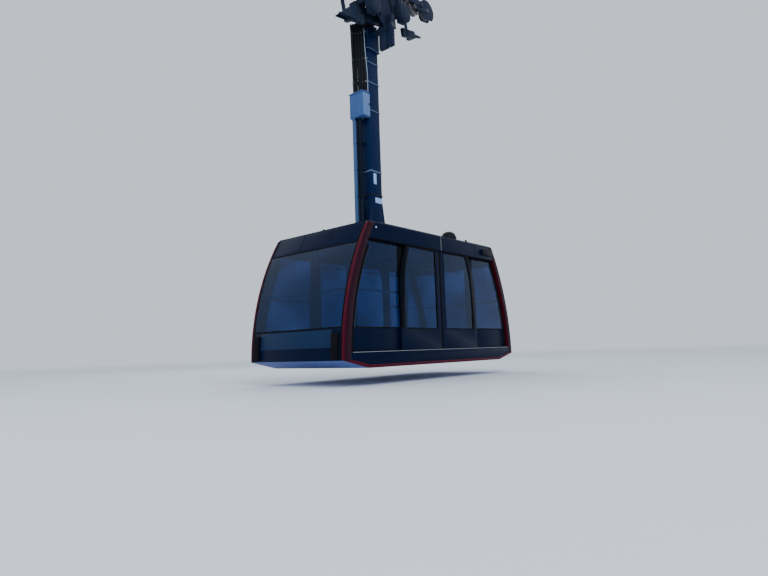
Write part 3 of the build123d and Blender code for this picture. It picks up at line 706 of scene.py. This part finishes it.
laminate = (0.55, 0.66, 0.84, 1)
roof_paint = painted("roof_paint", cabin_colour, cabin_grime, 0.26, 0.3, 0.05, ceiling, laminate)
eased("roof", 0.004, "cabin", roof_paint)
hatch = bmesh.new()
block(hatch, (1.15, -0.40, roof_top - 0.002), (1.95, 0.40, roof_top + 0.05), 0.01)
block(hatch, (1.11, -0.44, roof_top + 0.045), (1.99, 0.44, roof_top + 0.065), 0.008)
for row in (-1.0, -0.5, 0.5, 1.0):
    block(hatch, (-2.15, row - 0.02, roof_top - 0.002), (-0.7, row + 0.02, roof_top + 0.012), 0.005)
piece("roof_hatch", hatch, in_cabin, "cabin", cabin_paint)
drip_half, drip_low, drip_top = 2.2, 2.699, 2.708
drip_edges = bmesh.new()
drip_near, drip_far = -half_width + 0.003, -half_width + 0.032
block(drip_edges, (-drip_half, drip_near, drip_low), (drip_half, drip_far, drip_top), 0.002)
both_sides(drip_edges)
piece("drip_edges", drip_edges, in_cabin, "cabin", dull_steel)
nubs = bmesh.new()
barrel(nubs, (-2.12, 0.0, header_top), "z", 0.07, 0.026, width=0.006)
barrel(nubs, (1.17, -1.27, roof_top), "z", 0.05, 0.022, width=0.006)
piece("roof_nubs", nubs, in_cabin, "cabin", black_paint)

black_rubber = moulded("black_rubber", (0.004, 0.004, 0.006, 1), 0.62, shine=0.05)
black_plastic = moulded("black_plastic", (0.004, 0.005, 0.008, 1), 0.35, 0.0002)
eased("roof_dome", 0.012, "cabin", black_plastic)

# Ends: a header, one great pane and a lower panel on one curve, bonded with black rubber,
# with a blank sign plate on the lower panel and bumper strips beside it.
end_middle = Vector((1.98, 0, 0.13))
end_radius = 4.935
post_bar = 1.255
sill_height = 0.72
end_header_low = 2.31
end_low, end_top = 0.16, 2.69
gasket = 0.024


def end_run(shape, low, high, near, far, outside=0.0, thick=0.01):
    """A bar between two heights, bent along the cabin's lower end by a spin about its middle."""
    first, last = (math.asin((height - end_middle.z) / end_radius) for height in (low, high))
    outer = end_radius + outside
    corners = [(outer - thick, near), (outer, near), (outer, far), (outer - thick, far)]
    verts = [shape.verts.new((end_middle.x - reach, row, end_middle.z)) for reach, row in corners]
    face = shape.faces.new(verts)
    bmesh.ops.rotate(shape, cent=end_middle, matrix=Matrix.Rotation(first, 3, "Y"), verts=verts)
    steps = max(2, round((high - low) / 0.1))
    turn = last - first
    geom = [face, *face.edges, *verts]
    bmesh.ops.spin(shape, geom=geom, cent=end_middle, axis=(0, 1, 0), angle=turn, steps=steps)


tinted = Finish(
    "tinted_glass", Transmission_Weight=1, IOR=1.45, Roughness=0.0, Specular_Tint=(0.08, 0.35, 1.0, 1),
)
film = tinted.noise(1.3, detail=1)
tinted.feed(tinted.shader, {
    "Base Color": tinted.mix(tinted.rise(film, 0.40, 0.66), (0.028, 0.075, 0.19, 1), (0.095, 0.16, 0.33, 1)),
})
glass = tinted.material
sign_paint = painted("sign_plate_paint", (0.006, 0.018, 0.054, 1), (0.016, 0.028, 0.050, 1), 0.4, 0.5)
eased("end_headers", 0.004, "cabin", cabin_paint)
eased("end_lower_panels", 0.004, "cabin", cabin_paint)
coat(glass, "end_windows")
end_gaskets = bmesh.new()
end_run(end_gaskets, end_header_low - 0.022, end_header_low + 0.006, -post_bar, post_bar, 0.003, 0.02)
end_run(end_gaskets, sill_height - 0.006, sill_height + 0.022, -post_bar, post_bar, 0.003, 0.02)
end_run(end_gaskets, end_low, end_top, -post_bar, -post_bar + gasket, 0.004, 0.02)
end_run(end_gaskets, end_low, end_top, post_bar - gasket, post_bar, 0.004, 0.02)
end_run(end_gaskets, end_header_low, end_top, -0.405, -0.395, 0.002, 0.012)
end_run(end_gaskets, end_header_low, end_top, 0.395, 0.405, 0.002, 0.012)
both_ends(end_gaskets)
piece("end_gaskets", end_gaskets, in_cabin, "cabin", black_rubber)
sign_low, sign_top, sign_half = 0.38, 0.70, 1.0
sign_plates = bmesh.new()
end_run(sign_plates, sign_low, sign_top, -sign_half, sign_half, 0.006, 0.008)
break_edges(sign_plates, sign_plates.verts, 0.002)
both_ends(sign_plates)
piece("sign_plates", sign_plates, in_cabin, "cabin", sign_paint)
eased("end_bumpers", 0.012, "cabin", black_rubber)

# Corner posts: curved aluminium bars in glossy red with round edges, their side faces darkened with painted
# shade, and a black leg inside that the end walls are bonded to.
red_colour, red_grime = (0.068, 0.001, 0.007, 1), (0.036, 0.002, 0.009, 1)
red_paint = painted("cabin_red_paint", red_colour, red_grime, 0.28, 0.4)


def black_leg_and_side_shade(finish):
    """1 on the inner leg of each post, which is black, 0.72 on the side face as painted shade, 0 on the end
    face.
    """
    row = finish.node("ShaderNodeSeparateXYZ", inputs={0: finish.place}, output="Y")
    row = finish.node("ShaderNodeMath", {"operation": "ABSOLUTE"}, {0: row})
    return (row > half_width - 0.009) * 0.72 + (1 - (row > post_bar - 0.0005))


def round_corners(shape):
    """Rounds the posts along the corners of the cabin, where its ends meet its sides."""
    corners = []
    for edge in shape.edges:
        spots = [in_cabin.inverted() @ vert.co for vert in edge.verts]
        reach = [math.hypot(abs(spot.x) + end_middle.x, spot.z - end_middle.z) - end_radius for spot in spots]
        if all(abs(gap) < 0.002 and abs(spot.y) > half_width - 0.001 for gap, spot in zip(reach, spots)):
            corners.append(edge)
    bmesh.ops.bevel(
        shape, geom=corners, offset=0.032, offset_type="OFFSET", affect="EDGES", segments=6,
        profile=0.5, material=-1, clamp_overlap=True,
    )


# The posts' side faces are painted darker than their end faces as painted shade; the red itself is one
# colour.
post_paint = painted("cabin_post_paint", red_colour, red_grime, 0.28, 0.4, pattern=black_leg_and_side_shade)
eased("corner_posts", 0.006, "cabin", post_paint, round_corners)

# Side headers: deep channels that hide the door gear, with a black rubber strip along the lower edge that is
# painted shade for the channel's shadow, a bright seam near the middle, a small round marker lamp, and a flat
# housing with the door's drive.
lamp_lens = moulded("lamp_lens", (0.70, 0.74, 0.78, 1), 0.15, 0.0001)
side_header_low, header_half = 2.38, 2.24
eased("side_headers", 0.004, "cabin", cabin_paint)
eased("marker_lamps", 0.003, "cabin", lamp_lens)
eased("header_boxes", 0.006, "cabin", black_plastic)
header_seams = bmesh.new()
seam_low = (0.067, -half_width - 0.002, side_header_low)
block(header_seams, seam_low, (0.073, -half_width + 0.004, header_top), 0.001)
both_sides(header_seams)
piece("header_seams", header_seams, in_cabin, "cabin", rail_steel)
# The black strip along each header's foot is painted shade; the thin black lines near the ends are joints.
header_shade_and_joints = bmesh.new()
edge_low = (-header_half, -half_width - 0.003, side_header_low - 0.001)
block(header_shade_and_joints, edge_low, (header_half, -half_width + 0.006, side_header_low + 0.02), 0.001)
for place in (-1.445, 1.445):
    joint_low = (place - 0.004, -half_width - 0.002, side_header_low)
    block(header_shade_and_joints, joint_low, (place + 0.004, -half_width + 0.004, header_top), 0)
both_sides(header_shade_and_joints)
piece("header_shade_and_joints", header_shade_and_joints, in_cabin, "cabin", black_rubber)
lamp_rims = bmesh.new()
barrel(lamp_rims, (-2.035, -half_width, 2.605), "y", -0.006, 0.025, width=0.002)
both_sides(lamp_rims)
piece("lamp_rims", lamp_rims, in_cabin, "cabin", black_plastic)

# Side walls: lower panels, fixed windows and jambs beside each doorway, glazed with black rubber, and a grey
# metal strip next to the post that is a painted highlight for the light along the frame's edge.
wall_out = 1.262
gasket_out = wall_out + 0.004
jamb_far = 1.16
post_depth = 0.17
eased("side_lower_panels", 0.003, "cabin", cabin_paint)
eased("door_jambs", 0.004, "cabin", black_paint)
coat(glass, "side_windows")
side_gaskets = bmesh.new()
sill_end = -2.72
window_edges = [
    # left, low, high
    (sill_end, sill_height - 0.006, sill_height + 0.022),
    (-jamb_far - 0.20, sill_height, side_header_low),
    (-header_half, side_header_low - 0.045, side_header_low),
]
for left, low, high in window_edges:
    block(side_gaskets, (left, -gasket_out, low), (-jamb_far, -wall_out, high), 0.002)
end_run(side_gaskets, 0.31, side_header_low, -gasket_out, -wall_out + 0.004, -post_depth - 0.002, 0.11)
both_ends(side_gaskets)
both_sides(side_gaskets)
piece("side_gaskets", side_gaskets, in_cabin, "cabin", black_rubber)
# A grey metal strip beside each post: a painted highlight for the frame's lit edge.
post_edge_highlight_shape = bmesh.new()
end_run(post_edge_highlight_shape, sill_height + 0.02, side_header_low, -wall_out - 0.007, -wall_out, -post_depth - 0.112, 0.008)
both_ends(post_edge_highlight_shape)
both_sides(post_edge_highlight_shape)
post_edge_highlight_grey = bare_metal("post_edge_highlight_grey", (0.060, 0.080, 0.13, 1), 0.45, 0.05)
piece("post_edge_highlights", post_edge_highlight_shape, in_cabin, "cabin", post_edge_highlight_grey)

# Under body: sheet skirts under a ledge, a red rail along their foot, and a pressed pan that
# closes the floor from below.
pan_paint = painted("under_pan_paint", (0.11, 0.16, 0.40, 1), (0.07, 0.10, 0.21, 1), 0.5, 0.6)
eased("side_skirts", 0.004, "cabin", cabin_paint)
eased("sill_trim", 0.003, "cabin", red_paint)
eased("sill_ledges", 0.003, "cabin", cabin_paint)
coat(pan_paint, "under_pan")
# A bright steel strip along each ledge's top edge: a painted highlight for the light that the edge catches.
line_half = 2.75
ledge_edge_highlights = bmesh.new()
block(ledge_edge_highlights, (-line_half, -half_width - 0.003, 0.285), (line_half, -half_width + 0.02, 0.291), 0.0015)
both_sides(ledge_edge_highlights)
piece("ledge_edge_highlights", ledge_edge_highlights, in_cabin, "cabin", rail_steel)

# Door leaves: glazed frames that slide outside the walls, painted black round the pane, with
# rubber along the pane's edges and a soft nose where two leaves meet.
leaf_out = 1.316
leaf_low, leaf_top = 0.302, 2.47
stile_reach = 0.17


def black_rim(finish):
    """1 on a leaf's frame above the sill, but for the stile where two leaves meet."""
    across, height = (
        finish.node("ShaderNodeSeparateXYZ", inputs={0: finish.place}, output=axis) for axis in ("X", "Z")
    )
    reach = finish.node("ShaderNodeMath", {"operation": "ABSOLUTE"}, {0: across - pin.x})
    return (height > in_cabin.translation.z + sill_height + 0.012) * (reach > stile_reach)


door_paint = painted("door_paint", cabin_colour, cabin_grime, 0.30, 0.3, 0.06, black_rim)
doors = [
    # body, side, end
    ("door_right_front", -1, 1),
    ("door_right_rear", -1, -1),
    ("door_left_front", 1, 1),
    ("door_left_rear", 1, -1),
]
for name, side, end in doors:
    eased(name, 0.004, name, door_paint)
    coat(glass, name.replace("door", "door_glass"))
    seals = bmesh.new()
    skin = -leaf_out - 0.003
    block(seals, (0.004, skin, leaf_low + 0.01), (0.030, skin + 0.044, leaf_top - 0.01), 0.004)
    block(seals, (0.138, skin, sill_height - 0.012), (1.232, skin + 0.02, sill_height + 0.012), 0.003)
    block(seals, (0.138, skin, sill_height), (0.162, skin + 0.02, 2.36), 0.003)
    block(seals, (0.138, skin, 2.348), (1.02, skin + 0.02, 2.372), 0.003)
    place = in_cabin @ Matrix.Diagonal((end, -side, 1, 1))
    piece(f"{name}_seals", seals, place, name, black_rubber)

# Inside: rubber floor, steel handrails across the ends and beside the windows, grab rails
# that hang from the ceiling, and two rows of ceiling lamps.
floor_rubber = moulded("floor_rubber", (0.035, 0.038, 0.042, 1), 0.7, 0.001)
coat(floor_rubber, "floor_panel")
coat(rail_steel, "handrails")
rail_row, rail_height, rail_half = -0.62, 2.12, 1.95
grab_rails = bmesh.new()
barrel(grab_rails, (-rail_half, rail_row, rail_height), "x", 2 * rail_half, 0.016, sides=20, width=0.003)
for place in (-1.8, -0.9, 0, 0.9, 1.8):
    barrel(grab_rails, (place, rail_row, rail_height), "z", 0.511, 0.012, sides=16, width=0)
    barrel(grab_rails, (place, rail_row, 2.622), "z", 0.009, 0.04, sides=20, width=0.002)
both_sides(grab_rails)
piece("grab_rails", grab_rails, in_cabin, "cabin", rail_steel)
ceiling_lamps = bmesh.new()
for place in (-1.5, -0.5, 0.5, 1.5):
    block(ceiling_lamps, (place - 0.35, -0.66, 2.618), (place + 0.35, -0.54, 2.632), 0.004)
both_sides(ceiling_lamps)
piece("ceiling_lamps", ceiling_lamps, in_cabin, "cabin", lamp_lens)
